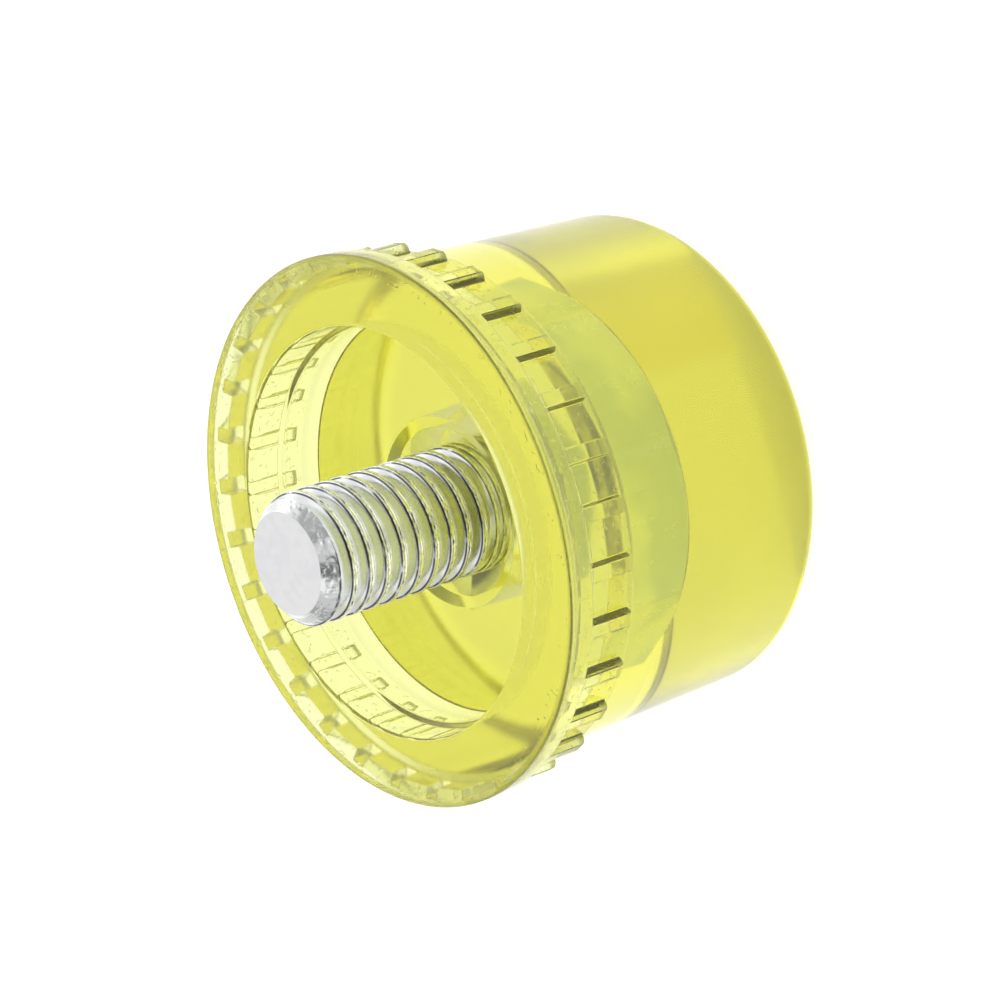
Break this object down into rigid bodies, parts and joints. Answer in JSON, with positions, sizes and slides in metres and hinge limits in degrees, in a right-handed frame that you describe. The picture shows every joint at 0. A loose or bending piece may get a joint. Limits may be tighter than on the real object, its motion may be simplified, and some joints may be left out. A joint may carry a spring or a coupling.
{
  "type": "screw-in mallet face",
  "caption": "Translucent amber screw-in striking face for a dead blow or soft-face mallet: flanged, ribbed moulded body with a hollow seating end round a moulded-in, fully threaded hex bolt.",
  "frame": {"origin": "centre of the flat striking face, which the part stands on", "axes": "+Z along the axis of the face and its stud, from the striking face towards the stud's end; +X through one grip rib"},
  "size_m": [0.053, 0.053, 0.0449],
  "materials": {
    "amber_polyurethane": "glossy, translucent greenish yellow, slightly olive where it is thick",
    "zinc_plated_steel": "bright zinc plating, semi-glossy"
  },
  "bodies": {
    "root": {"face_body": "amber_polyurethane", "hex_bolt": "zinc_plated_steel"}
  },
  "joints": []
}
